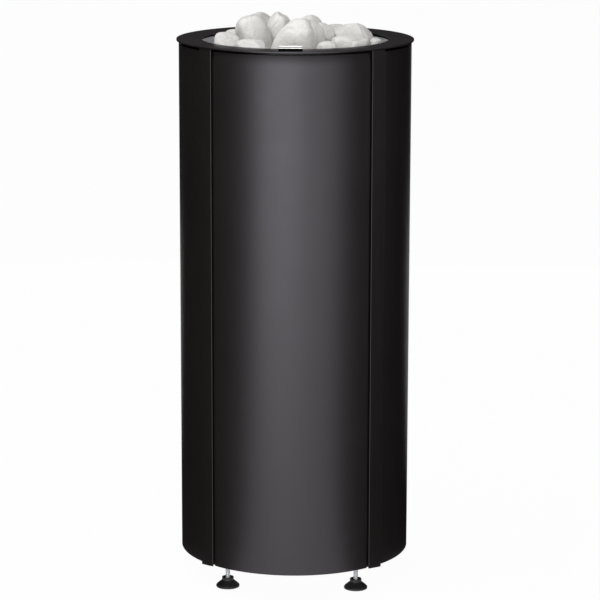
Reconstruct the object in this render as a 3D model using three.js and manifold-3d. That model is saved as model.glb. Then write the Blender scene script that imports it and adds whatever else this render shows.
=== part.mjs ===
// Free-standing electric sauna heater: a round black casing on four levelling feet, filled with stones.
// Millimetres, +Z up, origin on the floor below the centre, front towards -Y.
import * as THREE from "three";
import { ConvexGeometry } from "three/addons/geometries/ConvexGeometry.js";
import { mergeVertices } from "three/addons/utils/BufferGeometryUtils.js";
import Module from "manifold-3d";

const wasm = await Module();
wasm.setup();

// Casing
const CASING_RADIUS = 200;
const SHEET = 1.5;
const PANEL_BOTTOM = 50;
const PANEL_TOP = 943;
const PANEL_EDGE_GAP = 1.0;
const GAP = 0.3;

// Posts, placed by their angle from the front or rear centre line
const POST_ANGLE = 46;
const POST_WIDTH = 29.5;
const POST_THICKNESS = 2.4;
const POST_CLEARANCE = 0.4;
const POST_BOTTOM = 45;
const WEB_THICKNESS = 3;
const WEB_INNER_RADIUS = 188;

// Top ring and the bare plate that stands on its front
const RING_TOP = 950;
const RING_THICKNESS = 2.5;
const RING_OUTER_RADIUS = 204;
const RING_INNER_RADIUS = 161;
const RING_CHAMFER = 0.5;
const BADGE_WIDTH = 40;
const BADGE_HEIGHT = 9;
const BADGE_THICKNESS = 2.4;
const BADGE_RADIUS = 195;
const BADGE_CHAMFER = 0.6;

// Stone container
const CONTAINER_RADIUS = 165;
const CONTAINER_TOP = 943.5;
const LEDGE_TOP = 225.7;
const LEDGE_INNER_RADIUS = 156;
const CONTAINER_SEGMENTS = 64;

// Base frame
const FRAME_BOTTOM = 58;
const FRAME_TOP = 62;
const FRAME_OUTER_RADIUS = 172;
const FRAME_INNER_RADIUS = 118;
const FRAME_ARM_WIDTH = 40;

// Levelling feet
const FOOT_RADIUS = 155.5;
const STUD_RADIUS = 4;
const STUD_BOTTOM = 7.3;
const STUD_TOP = 104;
const STUD_CLEARANCE = 0.4;
const FOOT_NUT_RADIUS = 7.5;
const FOOT_NUT_HEIGHT = 8;
const PAD_RADIUS = 20;
const PAD_HEIGHT = 17.5;
const PAD_CUP_RADIUS = 10.2;
const PAD_CUP_INNER_RADIUS = 7.8;
const PAD_CUP_FLOOR = 12;

// Element plate, elements and their nuts
const PLATE_BOTTOM = 226;
const PLATE_THICKNESS = 3;
const PLATE_RADIUS = 163;
const AIR_SLOT_INNER = 112;
const AIR_SLOT_OUTER = 140;
const AIR_SLOT_SPREAD = 30;
const ELEMENT_RADIUS = 4.25;
const ELEMENT_ROWS = [-56, 0, 56];
const ELEMENT_HALF_SPAN = 60;
const ELEMENT_BEND_HEIGHT = 800;
const ELEMENT_PIN_BOTTOM = 186;
const BUSH_RADIUS = 6.5;
const BUSH_BOTTOM = 206;
const COLLAR_RADIUS = 11;
const COLLAR_HEIGHT = 8;
const ELEMENT_NUT_RADIUS = 12.7;
const ELEMENT_NUT_HEIGHT = 8;

// Stone grate
const GRATE_BOTTOM = 246;
const GRATE_THICKNESS = 5;
const GRATE_RADIUS = 163;
const GRATE_RIM = 6;
const GRATE_BAR = 6;
const GRATE_BAR_OFFSETS = [-126, -98, -70, -42, -14, 14, 42, 70, 98, 126];
const GRATE_TIE_OFFSETS = [-100, 0, 100];
const GRATE_TIE_BOTTOM = 241;
const GRATE_LEG = 10;

// Junction box, open below, with its cover, terminals, gland and limiter
const BOX_HALF_X = 75;
const BOX_HALF_Y = 50;
const BOX_BOTTOM = 62.3;
const BOX_TOP = 140;
const BOX_EAR_REACH = 150;
const BOX_EAR_WIDTH = 40;
const BOX_TAB = 15;
const WIRE_SLOT_X = [-60, -30];
const WIRE_SLOT_HALF_Y = 15;
const CAPILLARY_HOLE_RADIUS = 4;
const COVER_MARGIN = 3;
const COVER_BOTTOM = 60.4;
const COVER_TOP = 62;
const COVER_SCREW_X = 66;
const COVER_SCREW_RADIUS = 1.9;
const COVER_SCREW_HEAD_RADIUS = 4;
const COVER_SCREW_HEAD = 2.4;
const COVER_SCREW_TOP = 70;
const TERMINAL_SIZE = [96, 28, 22];
const TERMINAL_X = -15;
const TERMINAL_Y = -26;
const TERMINAL_POLES = 5;
const TERMINAL_PITCH = 18;
const TERMINAL_WELL = 12;
const GLAND_Z = 100;
const GLAND_THREAD_RADIUS = 12;
const GLAND_HEX_RADIUS = 17;
const GLAND_BORE = 7;
const LIMITER_X = 40;
const LIMITER_RADIUS = 15;
const LIMITER_BOTTOM = 68;
const LIMITER_TOP = 94;
const NECK_RADIUS = 6;
const NECK_BOTTOM = 57.5;
const BUTTON_RADIUS = 3.6;
const BUTTON_BOTTOM = 53.5;
const BUTTON_TOP = 62.5;
const BUTTON_BORE_TOP = 66;
const CAPILLARY_RADIUS = 1.2;
const BULB_RADIUS = 3;
const BULB_LENGTH = 80;
const BULB_X = 28;
const BULB_Z = 209;

// Stones
const BED_RADIUS = 164.2;
const BED_TOP = 902;
const BED_STONE_SPACING = 45;
const BED_STONE_TOP = 929;
const BED_STONE_BOTTOM = 846;
const BED_STONE_HALF = 27;
const BED_REACH = 142;
const STONE_SEAT = 917;
const STONE_CLEARANCE = 0.6;
const STONE_LIFT = 160;
const STONE_POINTS = 38;
const BED_STONE_POINTS = 18;
const ELEMENT_CLEARANCE = 0.5;

// Each loose stone: name, place, top, half sizes before turning, turn in degrees and shape number
const STONES = [
  { name: "stone_left_low", x: -113, y: -60, top: 966, halfX: 25, halfY: 28, turn: 12, shape: 1 },
  { name: "stone_left_small", x: -110, y: 47, top: 959, halfX: 17, halfY: 20, turn: 0, shape: 2 },
  { name: "stone_left_tall", x: -72, y: -3, top: 990, halfX: 31, halfY: 29, turn: 10, shape: 3 },
  { name: "stone_back_left", x: -65, y: 88, top: 985, halfX: 28, halfY: 27, turn: 0, shape: 4 },
  { name: "stone_mid_left", x: -30, y: 33, top: 991, halfX: 22, halfY: 25, turn: 0, shape: 5 },
  { name: "stone_front_left", x: -70, y: -101, top: 959, halfX: 25, halfY: 26, turn: 35, shape: 6 },
  { name: "stone_centre", x: 8, y: -78, top: 992, halfX: 47, halfY: 38, turn: 0, shape: 7 },
  { name: "stone_mid_right", x: 25, y: 36, top: 986, halfX: 22, halfY: 25, turn: 0, shape: 8 },
  { name: "stone_right_inner", x: 46, y: -14, top: 978, halfX: 22, halfY: 21, turn: 20, shape: 9 },
  { name: "stone_right_big", x: 97, y: 27, top: 974, halfX: 37, halfY: 34, turn: 0, shape: 10 },
  { name: "stone_front_right", x: 97, y: -65, top: 965, halfX: 39, halfY: 30, turn: 8, shape: 11 },
  { name: "stone_right_small", x: 138, y: -22, top: 954, halfX: 11, halfY: 15, turn: 0, shape: 12 },
  { name: "stone_front_gap", x: 58, y: -121, top: 959, halfX: 17, halfY: 19, turn: 20, shape: 13 },
  { name: "stone_back_centre", x: 6, y: 98, top: 967, halfX: 29, halfY: 30, turn: 0, shape: 14 },
  { name: "stone_back_right", x: 66, y: 88, top: 965, halfX: 27, halfY: 25, turn: 15, shape: 15 },
  { name: "stone_far_right", x: 112, y: 80, top: 957, halfX: 18, halfY: 16, turn: 30, shape: 16 },
  { name: "stone_rear_left", x: -38, y: 133, top: 957, halfX: 25, halfY: 18, turn: 12, shape: 17 },
  { name: "stone_rear_right", x: 38, y: 135, top: 956, halfX: 27, halfY: 16, turn: -12, shape: 18 },
];

// Colours and finishes
const BLACK_PAINT = { color: 0x232225, roughness: 0.42, metalness: 0.0 };
const STAINLESS = { color: 0x8b8d92, roughness: 0.35, metalness: 1.0 };
const ZINC = { color: 0xc4c6ca, roughness: 0.3, metalness: 1.0 };
const PLATED_STEEL = { color: 0x9a9b9d, roughness: 0.45, metalness: 1.0 };
const POLISHED_ALUMINIUM = { color: 0xd9dadc, roughness: 0.25, metalness: 1.0 };
const BLACK_RUBBER = { color: 0x1b1a1c, roughness: 0.75, metalness: 0.0 };
const WHITE_STONE = { color: 0xdddbd6, roughness: 0.7, metalness: 0.0 };
const BLACK_PLASTIC = { color: 0x222224, roughness: 0.55, metalness: 0.0 };
const PALE_PLASTIC = { color: 0xd6d3ca, roughness: 0.5, metalness: 0.0 };
const RED_PLASTIC = { color: 0xa82a22, roughness: 0.5, metalness: 0.0 };
const COPPER = { color: 0xb0764f, roughness: 0.4, metalness: 1.0 };

const heater = new THREE.Group();
heater.name = "sauna_heater";

const radians = (degrees) => THREE.MathUtils.degToRad(degrees);

// Point at an angle from the front centre line, turning towards +X
function around(angle, radius) {
  return [radius * Math.sin(radians(angle)), -radius * Math.cos(radians(angle))];
}

// Merged copy with every face pointing outwards and no flat triangles
function weld(geometry) {
  const bare = geometry.clone();
  bare.deleteAttribute("normal");
  bare.deleteAttribute("uv");
  const merged = mergeVertices(bare, 1e-4);
  const index = merged.index.array;
  const point = merged.attributes.position;
  const corners = [new THREE.Vector3(), new THREE.Vector3(), new THREE.Vector3()];
  const kept = [];
  let volume = 0;
  for (let i = 0; i < index.length; i += 3) {
    const [a, b, c] = [index[i], index[i + 1], index[i + 2]];
    if (a === b || b === c || c === a) continue;
    kept.push(a, b, c);
    corners[0].fromBufferAttribute(point, a);
    corners[1].fromBufferAttribute(point, b);
    corners[2].fromBufferAttribute(point, c);
    volume += corners[0].dot(corners[1].cross(corners[2]));
  }
  if (volume < 0) kept.reverse();
  merged.setIndex(kept);
  return merged;
}

function toSolid(geometry) {
  const welded = weld(geometry);
  return new wasm.Manifold(
    new wasm.Mesh({
      numProp: 3,
      vertProperties: new Float32Array(welded.attributes.position.array),
      triVerts: new Uint32Array(welded.index.array),
    }),
  );
}

function toGeometry(solid) {
  const mesh = solid.getMesh();
  const geometry = new THREE.BufferGeometry();
  geometry.setAttribute("position", new THREE.BufferAttribute(new Float32Array(mesh.vertProperties), 3));
  geometry.setIndex(new THREE.BufferAttribute(new Uint32Array(mesh.triVerts), 1));
  return geometry;
}

function join(...pieces) {
  return toGeometry(pieces.map(toSolid).reduce((whole, piece) => whole.add(piece)));
}

function cut(body, ...tools) {
  return toGeometry(tools.map(toSolid).reduce((whole, tool) => whole.subtract(tool), toSolid(body)));
}

function keepInside(body, limit) {
  return toGeometry(toSolid(body).intersect(toSolid(limit)));
}

function add(name, geometry, finish) {
  const flat = weld(geometry).toNonIndexed();
  flat.computeVertexNormals();
  const mesh = new THREE.Mesh(flat, new THREE.MeshStandardMaterial(finish));
  mesh.name = name;
  heater.add(mesh);
}

function extrude(shape, low, high, segments = 12) {
  const settings = { depth: high - low, bevelEnabled: false, curveSegments: segments };
  const geometry = new THREE.ExtrudeGeometry(shape, settings);
  geometry.translate(0, 0, low);
  return geometry;
}

function revolve(profile, segments) {
  const points = profile.map(([radius, height]) => new THREE.Vector2(radius, height));
  const geometry = new THREE.LatheGeometry(points, segments);
  geometry.rotateX(Math.PI / 2);
  return geometry;
}

function box(lowX, highX, lowY, highY, lowZ, highZ) {
  const geometry = new THREE.BoxGeometry(highX - lowX, highY - lowY, highZ - lowZ);
  geometry.translate((lowX + highX) / 2, (lowY + highY) / 2, (lowZ + highZ) / 2);
  return geometry;
}

function upright(radius, low, high, x = 0, y = 0, sides = 16) {
  const geometry = new THREE.CylinderGeometry(radius, radius, high - low, sides);
  geometry.rotateX(Math.PI / 2);
  geometry.translate(x, y, (low + high) / 2);
  return geometry;
}

// Curved sheet between two angles
function curvedSheet(inner, outer, startAngle, endAngle, low, high, segments) {
  const start = radians(startAngle - 90);
  const end = radians(endAngle - 90);
  const shape = new THREE.Shape();
  shape.absarc(0, 0, outer, start, end, false);
  shape.absarc(0, 0, inner, end, start, true);
  return extrude(shape, low, high, segments);
}

// Flat plate with a round hole
function washer(inner, outer, low, high, segments) {
  const shape = new THREE.Shape();
  shape.absarc(0, 0, outer, 0, 2 * Math.PI, false);
  const hole = new THREE.Path();
  hole.absarc(0, 0, inner, 0, 2 * Math.PI, true);
  shape.holes.push(hole);
  return extrude(shape, low, high, segments);
}

const RING_BOTTOM = RING_TOP - RING_THICKNESS;
const PLATE_TOP = PLATE_BOTTOM + PLATE_THICKNESS;
const GRATE_TOP = GRATE_BOTTOM + GRATE_THICKNESS;
const CORNERS = [
  { name: "front_left", angle: -POST_ANGLE },
  { name: "front_right", angle: POST_ANGLE },
  { name: "rear_right", angle: 180 - POST_ANGLE },
  { name: "rear_left", angle: 180 + POST_ANGLE },
];

// Casing panels, each tucked under the posts at both edges
const panelInner = CASING_RADIUS - SHEET;
const edgeAngle = THREE.MathUtils.radToDeg((WEB_THICKNESS / 2 + PANEL_EDGE_GAP) / panelInner);
const panels = [
  { name: "front_panel", from: -POST_ANGLE, to: POST_ANGLE },
  { name: "right_panel", from: POST_ANGLE, to: 180 - POST_ANGLE },
  { name: "rear_panel", from: 180 - POST_ANGLE, to: 180 + POST_ANGLE },
  { name: "left_panel", from: 180 + POST_ANGLE, to: 360 - POST_ANGLE },
];
for (const { name, from, to } of panels) {
  const start = from + edgeAngle;
  const end = to - edgeAngle;
  add(name, curvedSheet(panelInner, CASING_RADIUS, start, end, PANEL_BOTTOM, PANEL_TOP, 14), BLACK_PAINT);
}

// Posts with a T-shaped section: a curved strip outside and a web between the panel edges
const postInner = CASING_RADIUS + POST_CLEARANCE;
const postOuter = postInner + POST_THICKNESS;
const halfPost = THREE.MathUtils.radToDeg(POST_WIDTH / 2 / postOuter);
const postTop = RING_BOTTOM - GAP;
for (const { name, angle } of CORNERS) {
  const strip = curvedSheet(postInner, postOuter, angle - halfPost, angle + halfPost, POST_BOTTOM, postTop, 3);
  const webHalf = WEB_THICKNESS / 2;
  const web = box(-webHalf, webHalf, -postInner - POST_THICKNESS / 2, -WEB_INNER_RADIUS, POST_BOTTOM, postTop);
  web.rotateZ(radians(angle));
  add(`post_${name}`, join(strip, web), BLACK_PAINT);
}

// Top ring
add(
  "top_ring",
  revolve(
    [
      [RING_INNER_RADIUS, RING_BOTTOM],
      [RING_OUTER_RADIUS - RING_CHAMFER, RING_BOTTOM],
      [RING_OUTER_RADIUS, RING_BOTTOM + RING_CHAMFER],
      [RING_OUTER_RADIUS, RING_TOP - RING_CHAMFER],
      [RING_OUTER_RADIUS - RING_CHAMFER, RING_TOP],
      [RING_INNER_RADIUS + RING_CHAMFER, RING_TOP],
      [RING_INNER_RADIUS, RING_TOP - RING_CHAMFER],
      [RING_INNER_RADIUS, RING_BOTTOM],
    ],
    64,
  ),
  BLACK_PAINT,
);

// Bare plate on the ring's front
const badgeShape = new THREE.Shape();
const badgeLow = RING_TOP + GAP;
const badgeHigh = badgeLow + BADGE_HEIGHT;
badgeShape.moveTo(-BADGE_WIDTH / 2, badgeLow);
badgeShape.lineTo(BADGE_WIDTH / 2, badgeLow);
badgeShape.lineTo(BADGE_WIDTH / 2, badgeHigh - BADGE_CHAMFER);
badgeShape.lineTo(BADGE_WIDTH / 2 - BADGE_CHAMFER, badgeHigh);
badgeShape.lineTo(-BADGE_WIDTH / 2 + BADGE_CHAMFER, badgeHigh);
badgeShape.lineTo(-BADGE_WIDTH / 2, badgeHigh - BADGE_CHAMFER);
const badge = extrude(badgeShape, 0, BADGE_THICKNESS);
badge.rotateX(Math.PI / 2);
badge.translate(0, -BADGE_RADIUS + BADGE_THICKNESS, 0);
add("badge_plate", badge, POLISHED_ALUMINIUM);

// Stone container: a plain tube round the stones and the heating elements
const containerBottom = FRAME_TOP + GAP;
const containerOuter = CONTAINER_RADIUS + SHEET;
add(
  "stone_container",
  revolve(
    [
      [containerOuter, containerBottom],
      [containerOuter, CONTAINER_TOP],
      [CONTAINER_RADIUS, CONTAINER_TOP],
      [CONTAINER_RADIUS, containerBottom],
      [containerOuter, containerBottom],
    ],
    CONTAINER_SEGMENTS,
  ),
  STAINLESS,
);

// Ledge ring welded inside the container, under the element plate
const ledgeOuter = CONTAINER_RADIUS - GAP;
add(
  "ledge_ring",
  revolve(
    [
      [LEDGE_INNER_RADIUS, LEDGE_TOP - SHEET],
      [ledgeOuter, LEDGE_TOP - SHEET],
      [ledgeOuter, LEDGE_TOP],
      [LEDGE_INNER_RADIUS, LEDGE_TOP],
      [LEDGE_INNER_RADIUS, LEDGE_TOP - SHEET],
    ],
    CONTAINER_SEGMENTS,
  ),
  STAINLESS,
);

// Base frame: a flat ring with an arm to each post and a nut for each foot
const frameArms = CORNERS.map(({ angle }) => {
  const innerEnd = (FRAME_INNER_RADIUS + FRAME_OUTER_RADIUS) / 2;
  const outerEnd = WEB_INNER_RADIUS - GAP;
  const half = FRAME_ARM_WIDTH / 2;
  const arm = box(-half, half, -outerEnd, -innerEnd, FRAME_BOTTOM, FRAME_TOP);
  arm.rotateZ(radians(angle));
  return arm;
});
const frameNuts = CORNERS.map(({ angle }) => {
  const [x, y] = around(angle, FOOT_RADIUS);
  return upright(FOOT_NUT_RADIUS, FRAME_TOP - 1, FRAME_TOP + FOOT_NUT_HEIGHT, x, y, 6);
});
const frameHoles = CORNERS.map(({ angle }) => {
  const [x, y] = around(angle, FOOT_RADIUS);
  return upright(STUD_RADIUS + STUD_CLEARANCE, FRAME_BOTTOM - 1, FRAME_TOP + FOOT_NUT_HEIGHT + 1, x, y);
});
const frameRing = washer(FRAME_INNER_RADIUS, FRAME_OUTER_RADIUS, FRAME_BOTTOM, FRAME_TOP, 28);
add("base_frame", cut(join(frameRing, ...frameArms, ...frameNuts), ...frameHoles), BLACK_PAINT);

// Levelling feet
for (const { name, angle } of CORNERS) {
  const [x, y] = around(angle, FOOT_RADIUS);
  const socket = STUD_RADIUS + STUD_CLEARANCE;
  const pad = revolve(
    [
      [0, 0],
      [PAD_RADIUS - 0.8, 0],
      [PAD_RADIUS, 0.8],
      [PAD_RADIUS, 2.6],
      [PAD_CUP_RADIUS + 1, PAD_CUP_FLOOR - 0.5],
      [PAD_CUP_RADIUS, PAD_CUP_FLOOR + 0.5],
      [PAD_CUP_RADIUS, PAD_HEIGHT],
      [PAD_CUP_INNER_RADIUS, PAD_HEIGHT],
      [PAD_CUP_INNER_RADIUS, PAD_CUP_FLOOR],
      [socket, PAD_CUP_FLOOR],
      [socket, STUD_BOTTOM - GAP],
      [0, STUD_BOTTOM - GAP],
    ],
    28,
  );
  pad.translate(x, y, 0);
  add(`foot_pad_${name}`, pad, BLACK_RUBBER);
  add(`foot_stud_${name}`, upright(STUD_RADIUS, STUD_BOTTOM, STUD_TOP, x, y), ZINC);
}

// Element plate with a hole for each element end and slots for the air
const elementEnds = ELEMENT_ROWS.flatMap((y) => [
  { x: -ELEMENT_HALF_SPAN, y },
  { x: ELEMENT_HALF_SPAN, y },
]);
const bushHoles = elementEnds.map(({ x, y }) => {
  return upright(BUSH_RADIUS + STUD_CLEARANCE, PLATE_BOTTOM - 1, PLATE_TOP + 1, x, y, 16);
});
const slotLow = PLATE_BOTTOM - 1;
const slotHigh = PLATE_TOP + 1;
const airSlots = [0, 90, 180, 270].map((angle) => {
  const start = angle - AIR_SLOT_SPREAD;
  const end = angle + AIR_SLOT_SPREAD;
  return curvedSheet(AIR_SLOT_INNER, AIR_SLOT_OUTER, start, end, slotLow, slotHigh, 4);
});
const plateDisc = upright(PLATE_RADIUS, PLATE_BOTTOM, PLATE_TOP, 0, 0, 48);
add("element_plate", cut(plateDisc, ...bushHoles, ...airSlots), PLATED_STEEL);

// Half circle of an element's bend
class Bend extends THREE.Curve {
  constructor(y) {
    super();
    this.y = y;
  }
  getPoint(t, target = new THREE.Vector3()) {
    const turn = Math.PI * (1 - t);
    const reach = ELEMENT_HALF_SPAN;
    return target.set(reach * Math.cos(turn), this.y, ELEMENT_BEND_HEIGHT + reach * Math.sin(turn));
  }
}

function bendTube(y, radius) {
  const section = new THREE.Shape();
  section.absarc(0, 0, radius, 0, 2 * Math.PI, false);
  const settings = { extrudePath: new Bend(y), steps: 12, curveSegments: 4, bevelEnabled: false };
  return new THREE.ExtrudeGeometry(section, settings);
}

// Hairpin heating elements, each with a fitting at both ends, and the nuts below the plate
const elementNames = ["front", "middle", "rear"];
ELEMENT_ROWS.forEach((y, row) => {
  const pieces = [bendTube(y, ELEMENT_RADIUS)];
  for (const side of [-1, 1]) {
    const x = side * ELEMENT_HALF_SPAN;
    const collarBottom = PLATE_TOP + GAP;
    const collarTop = collarBottom + COLLAR_HEIGHT;
    pieces.push(upright(ELEMENT_RADIUS, collarTop - 1, ELEMENT_BEND_HEIGHT + 0.5, x, y, 8));
    pieces.push(upright(COLLAR_RADIUS, collarBottom, collarTop, x, y, 6));
    pieces.push(upright(BUSH_RADIUS, BUSH_BOTTOM, collarBottom + 1, x, y, 16));
    pieces.push(upright(2, ELEMENT_PIN_BOTTOM, BUSH_BOTTOM + 1, x, y, 8));
    const nutTop = PLATE_BOTTOM - GAP;
    const nut = upright(ELEMENT_NUT_RADIUS, nutTop - ELEMENT_NUT_HEIGHT, nutTop, x, y, 6);
    const nutHole = upright(BUSH_RADIUS + STUD_CLEARANCE, nutTop - ELEMENT_NUT_HEIGHT - 1, nutTop + 1, x, y);
    const sideName = side < 0 ? "left" : "right";
    add(`element_nut_${elementNames[row]}_${sideName}`, cut(nut, nutHole), PLATED_STEEL);
  }
  add(`element_${elementNames[row]}`, join(...pieces), STAINLESS);
});

// Stone grate standing on the element plate
const grateLimit = upright(GRATE_RADIUS - GRATE_RIM / 2, GRATE_TIE_BOTTOM - 1, GRATE_TOP + 1, 0, 0, 32);
const reach = GRATE_RADIUS;
const halfBar = GRATE_BAR / 2;
const grateBars = [
  ...GRATE_BAR_OFFSETS.map((y) => box(-reach, reach, y - halfBar, y + halfBar, GRATE_BOTTOM, GRATE_TOP)),
  ...GRATE_TIE_OFFSETS.map((x) => box(x - halfBar, x + halfBar, -reach, reach, GRATE_TIE_BOTTOM, GRATE_BOTTOM + 1)),
];
const grateRim = washer(GRATE_RADIUS - GRATE_RIM, GRATE_RADIUS, GRATE_BOTTOM, GRATE_TOP, 24);
const grateLegs = [45, 135, 225, 315].map((angle) => {
  const half = GRATE_LEG / 2;
  const legRadius = GRATE_RADIUS - GRATE_RIM;
  const leg = box(-half, half, -legRadius - 2, -legRadius + 2, PLATE_TOP + GAP, GRATE_BOTTOM + 1);
  leg.rotateZ(radians(angle));
  return leg;
});
const grateMesh = keepInside(join(...grateBars), grateLimit);
add("stone_grate", join(grateMesh, grateRim, ...grateLegs), STAINLESS);

// Junction box on two ears that rest on the base frame
const boxShell = box(-BOX_HALF_X, BOX_HALF_X, -BOX_HALF_Y, BOX_HALF_Y, BOX_BOTTOM, BOX_TOP);
const boxInside = box(
  -BOX_HALF_X + SHEET,
  BOX_HALF_X - SHEET,
  -BOX_HALF_Y + SHEET,
  BOX_HALF_Y - SHEET,
  BOX_BOTTOM - 1,
  BOX_TOP - SHEET,
);
const earHalf = BOX_EAR_WIDTH / 2;
const earTop = BOX_BOTTOM + SHEET;
const boxEars = [
  box(-BOX_EAR_REACH, -BOX_HALF_X + 1, -earHalf, earHalf, BOX_BOTTOM, earTop),
  box(BOX_HALF_X - 1, BOX_EAR_REACH, -earHalf, earHalf, BOX_BOTTOM, earTop),
];
const tabHalf = BOX_TAB / 2;
const boxTabs = [
  box(-BOX_HALF_X + 1, -BOX_HALF_X + BOX_TAB, -tabHalf, tabHalf, BOX_BOTTOM, earTop),
  box(BOX_HALF_X - BOX_TAB, BOX_HALF_X - 1, -tabHalf, tabHalf, BOX_BOTTOM, earTop),
];
const screwPlaces = [-COVER_SCREW_X, COVER_SCREW_X];
const screwHoles = screwPlaces.map((x) => {
  return upright(COVER_SCREW_RADIUS + STUD_CLEARANCE, COVER_BOTTOM - 1, earTop + 1, x, 0, 12);
});
const glandHole = upright(GLAND_THREAD_RADIUS + STUD_CLEARANCE, -5, 5, 0, 0, 24);
glandHole.rotateX(Math.PI / 2);
glandHole.translate(0, BOX_HALF_Y, GLAND_Z);
const capillaryHole = upright(CAPILLARY_HOLE_RADIUS, BOX_TOP - SHEET - 1, BOX_TOP + 1, LIMITER_X, 0);
const wireSlot = box(...WIRE_SLOT_X, -WIRE_SLOT_HALF_Y, WIRE_SLOT_HALF_Y, BOX_TOP - SHEET - 1, BOX_TOP + 1);
const boxBody = join(cut(boxShell, boxInside), ...boxEars, ...boxTabs);
add("junction_box", cut(boxBody, ...screwHoles, glandHole, capillaryHole, wireSlot), PLATED_STEEL);

// Box cover with a hole for the limiter's neck
const coverX = BOX_HALF_X + COVER_MARGIN;
const coverY = BOX_HALF_Y + COVER_MARGIN;
const coverSheet = box(-coverX, coverX, -coverY, coverY, COVER_BOTTOM, COVER_TOP);
const neckHole = upright(NECK_RADIUS + STUD_CLEARANCE, COVER_BOTTOM - 1, COVER_TOP + 1, LIMITER_X, 0, 24);
add("box_cover", cut(coverSheet, ...screwHoles, neckHole), PLATED_STEEL);
["left", "right"].forEach((side, number) => {
  const x = screwPlaces[number];
  const headTop = COVER_BOTTOM - GAP;
  const headBottom = headTop - COVER_SCREW_HEAD;
  const head = upright(COVER_SCREW_HEAD_RADIUS, headBottom, headTop, x, 0, 20);
  const shank = upright(COVER_SCREW_RADIUS, headTop - 1, COVER_SCREW_TOP, x, 0, 12);
  const slot = box(x - 3, x + 3, -0.5, 0.5, headBottom - 1, headBottom + 1.2);
  add(`cover_screw_${side}`, cut(join(head, shank), slot), ZINC);
});

// Terminal block under the box's top, with a well for each pole
const [blockX, blockY, blockZ] = TERMINAL_SIZE;
const blockTop = BOX_TOP - SHEET - GAP;
const blockLow = blockTop - blockZ;
const block = box(
  TERMINAL_X - blockX / 2,
  TERMINAL_X + blockX / 2,
  TERMINAL_Y - blockY / 2,
  TERMINAL_Y + blockY / 2,
  blockLow,
  blockTop,
);
const wells = Array.from({ length: TERMINAL_POLES }, (_, pole) => {
  const x = TERMINAL_X + (pole - (TERMINAL_POLES - 1) / 2) * TERMINAL_PITCH;
  const half = TERMINAL_WELL / 2;
  return box(x - half, x + half, TERMINAL_Y - half, TERMINAL_Y + half, blockLow - 1, blockLow + 10);
});
add("terminal_block", cut(block, ...wells), PALE_PLASTIC);

// Cable gland through the box's rear wall
const glandProfile = [
  [GLAND_BORE, -12],
  [GLAND_THREAD_RADIUS, -12],
  [GLAND_THREAD_RADIUS, GAP],
  [GLAND_HEX_RADIUS, GAP],
  [GLAND_HEX_RADIUS, 8],
  [GLAND_HEX_RADIUS - 2, 10],
  [GLAND_HEX_RADIUS - 2, 20],
  [GLAND_HEX_RADIUS - 6, 27],
  [GLAND_BORE, 27],
  [GLAND_BORE, -12],
];
const gland = revolve(glandProfile, 24);
gland.rotateX(-Math.PI / 2);
gland.translate(0, BOX_HALF_Y, GLAND_Z);
add("cable_gland", gland, BLACK_PLASTIC);

// Overheat limiter, its reset button and its sensor
const limiter = revolve(
  [
    [0, LIMITER_TOP],
    [0, BUTTON_BORE_TOP],
    [BUTTON_RADIUS + STUD_CLEARANCE, BUTTON_BORE_TOP],
    [BUTTON_RADIUS + STUD_CLEARANCE, NECK_BOTTOM],
    [NECK_RADIUS, NECK_BOTTOM],
    [NECK_RADIUS, LIMITER_BOTTOM],
    [LIMITER_RADIUS, LIMITER_BOTTOM],
    [LIMITER_RADIUS, LIMITER_TOP],
    [0, LIMITER_TOP],
  ],
  28,
);
limiter.translate(LIMITER_X, 0, 0);
add("limiter_body", limiter, PALE_PLASTIC);

const buttonEdge = 0.8;
const button = revolve(
  [
    [0, BUTTON_BOTTOM],
    [BUTTON_RADIUS - buttonEdge, BUTTON_BOTTOM],
    [BUTTON_RADIUS, BUTTON_BOTTOM + buttonEdge],
    [BUTTON_RADIUS, BUTTON_TOP],
    [0, BUTTON_TOP],
  ],
  20,
);
button.translate(LIMITER_X, 0, 0);
add("reset_button", button, RED_PLASTIC);

const capillaryPath = new THREE.CatmullRomCurve3([
  new THREE.Vector3(LIMITER_X, 0, LIMITER_TOP + GAP),
  new THREE.Vector3(LIMITER_X, 0, BOX_TOP + 10),
  new THREE.Vector3(LIMITER_X - 6, 0, BULB_Z - 30),
  new THREE.Vector3(BULB_X, 0, BULB_Z),
]);
const capillarySection = new THREE.Shape();
capillarySection.absarc(0, 0, CAPILLARY_RADIUS, 0, 2 * Math.PI, false);
const capillary = new THREE.ExtrudeGeometry(capillarySection, {
  extrudePath: capillaryPath,
  steps: 16,
  curveSegments: 3,
  bevelEnabled: false,
});
const bulb = upright(BULB_RADIUS, -BULB_LENGTH / 2, BULB_LENGTH / 2, 0, 0, 12);
bulb.rotateX(Math.PI / 2);
bulb.translate(BULB_X, 0, BULB_Z);
add("limiter_sensor", join(capillary, bulb), COPPER);

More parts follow.
